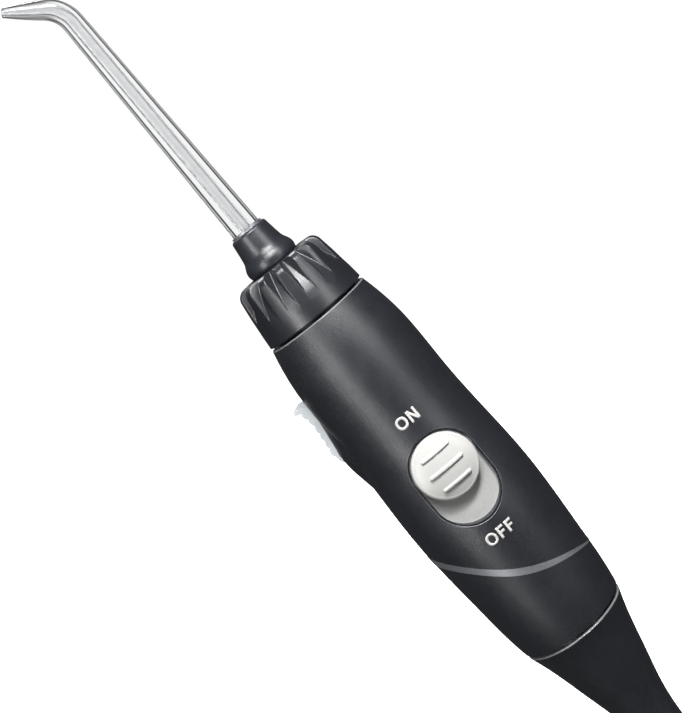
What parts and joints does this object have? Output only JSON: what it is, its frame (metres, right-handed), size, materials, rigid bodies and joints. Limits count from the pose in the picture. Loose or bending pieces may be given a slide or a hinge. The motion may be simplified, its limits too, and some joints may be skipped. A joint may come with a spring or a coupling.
{
  "type": "water flosser handset",
  "caption": "Handheld handset of a countertop water flosser: dark round grip, fluted rotating knob, clear angled jet tip, sliding pause switch and side release button.",
  "frame": {"origin": "centre of the open tail end, where the hose enters", "axes": "+Z along the main axis towards the jet tip, -Y out of the front with the slide switch, -X towards the release button and the bend of the nozzle"},
  "size_m": [0.0331, 0.0318, 0.2196],
  "materials": {
    "dark_shell": "satin dark graphite plastic",
    "dark_knob": "semi-gloss dark graphite plastic",
    "dark_matte": "matte dark plastic",
    "silver_trim": "silver-grey satin",
    "grey_tray": "light grey satin plastic",
    "light_button": "warm light grey satin plastic",
    "pale_button": "pale cool grey plastic",
    "clear_tip": "clear moulded plastic",
    "white_acetal": "natural white plastic",
    "black_acetal": "black bearing plastic",
    "polished_edge": "polished dark plastic",
    "soft_tube": "soft translucent tube",
    "black_rubber": "black seal rubber",
    "steel": "stainless steel"
  },
  "bodies": {
    "handle": {"front_shell": "dark_shell", "rear_shell": "dark_shell", "trim_band": "silver_trim", "tail_sleeve": "dark_shell", "switch_tray": "grey_tray", "switch_bezel": "polished_edge", "valve_body": "white_acetal", "plug_retainer": "white_acetal", "hose_connector": "white_acetal", "connector_retainer": "white_acetal", "inlet_tube": "soft_tube", "outlet_tube": "soft_tube", "tip_seat": "white_acetal", "tip_seal": "black_rubber", "head_bushing": "black_acetal", "hinge_pin": "steel", "latch_spring": "steel", "case_screw_1": "steel", "case_screw_2": "steel", "case_screw_3": "steel"},
    "rotator": {"rotator_knob": "dark_knob", "nose_collar": "dark_matte", "tip_spindle": "white_acetal", "spindle_clip": "steel", "knob_washer": "black_acetal"},
    "tip": {"jet_tip": "clear_tip", "tip_ring": "silver_trim"},
    "release": {"release_button": "pale_button"},
    "latch": {"latch_plate": "white_acetal"},
    "slider": {"slider_button": "light_button", "slider_carriage": "white_acetal", "slider_screw": "steel"},
    "plug": {"valve_plug": "grey_tray", "plug_seal_1": "black_rubber", "plug_seal_2": "black_rubber", "plug_crank": "white_acetal"}
  },
  "joints": [
    {"name": "knob_spin", "type": "hinge", "parent": "handle", "child": "rotator", "pos_m": [0, 0, 0.1366], "axis": [0, 0, 1], "continuous": true},
    {"name": "tip_pull", "type": "slide", "parent": "rotator", "child": "tip", "axis": [0, 0, 1], "range_m": [0, 0.044]},
    {"name": "button_press", "type": "hinge", "parent": "handle", "child": "release", "pos_m": [-0.01182, 0.00339, 0.1015], "axis": [0.2756, 0.9613, 0], "range_deg": [0, 7], "stiffness_Nm_per_rad": 0.05, "springref_deg": -5.73},
    {"name": "latch_slide", "type": "slide", "parent": "handle", "child": "latch", "axis": [0.9613, -0.2756, 0], "range_m": [0, 0.0016], "deforming": ["latch_spring"]},
    {"name": "pause_slide", "type": "slide", "parent": "handle", "child": "slider", "axis": [0, 0, -1], "range_m": [0, 0.0065]},
    {"name": "plug_turn", "type": "hinge", "parent": "handle", "child": "plug", "pos_m": [0, 0, 0.08625], "axis": [1, 0, 0], "range_deg": [0, 70]}
  ],
  "couplings": [
    {"joint": "latch_slide", "follows": "button_press", "m_per_rad": 0.0129},
    {"joint": "plug_turn", "follows": "pause_slide", "rad_per_m": 187.95}
  ]
}
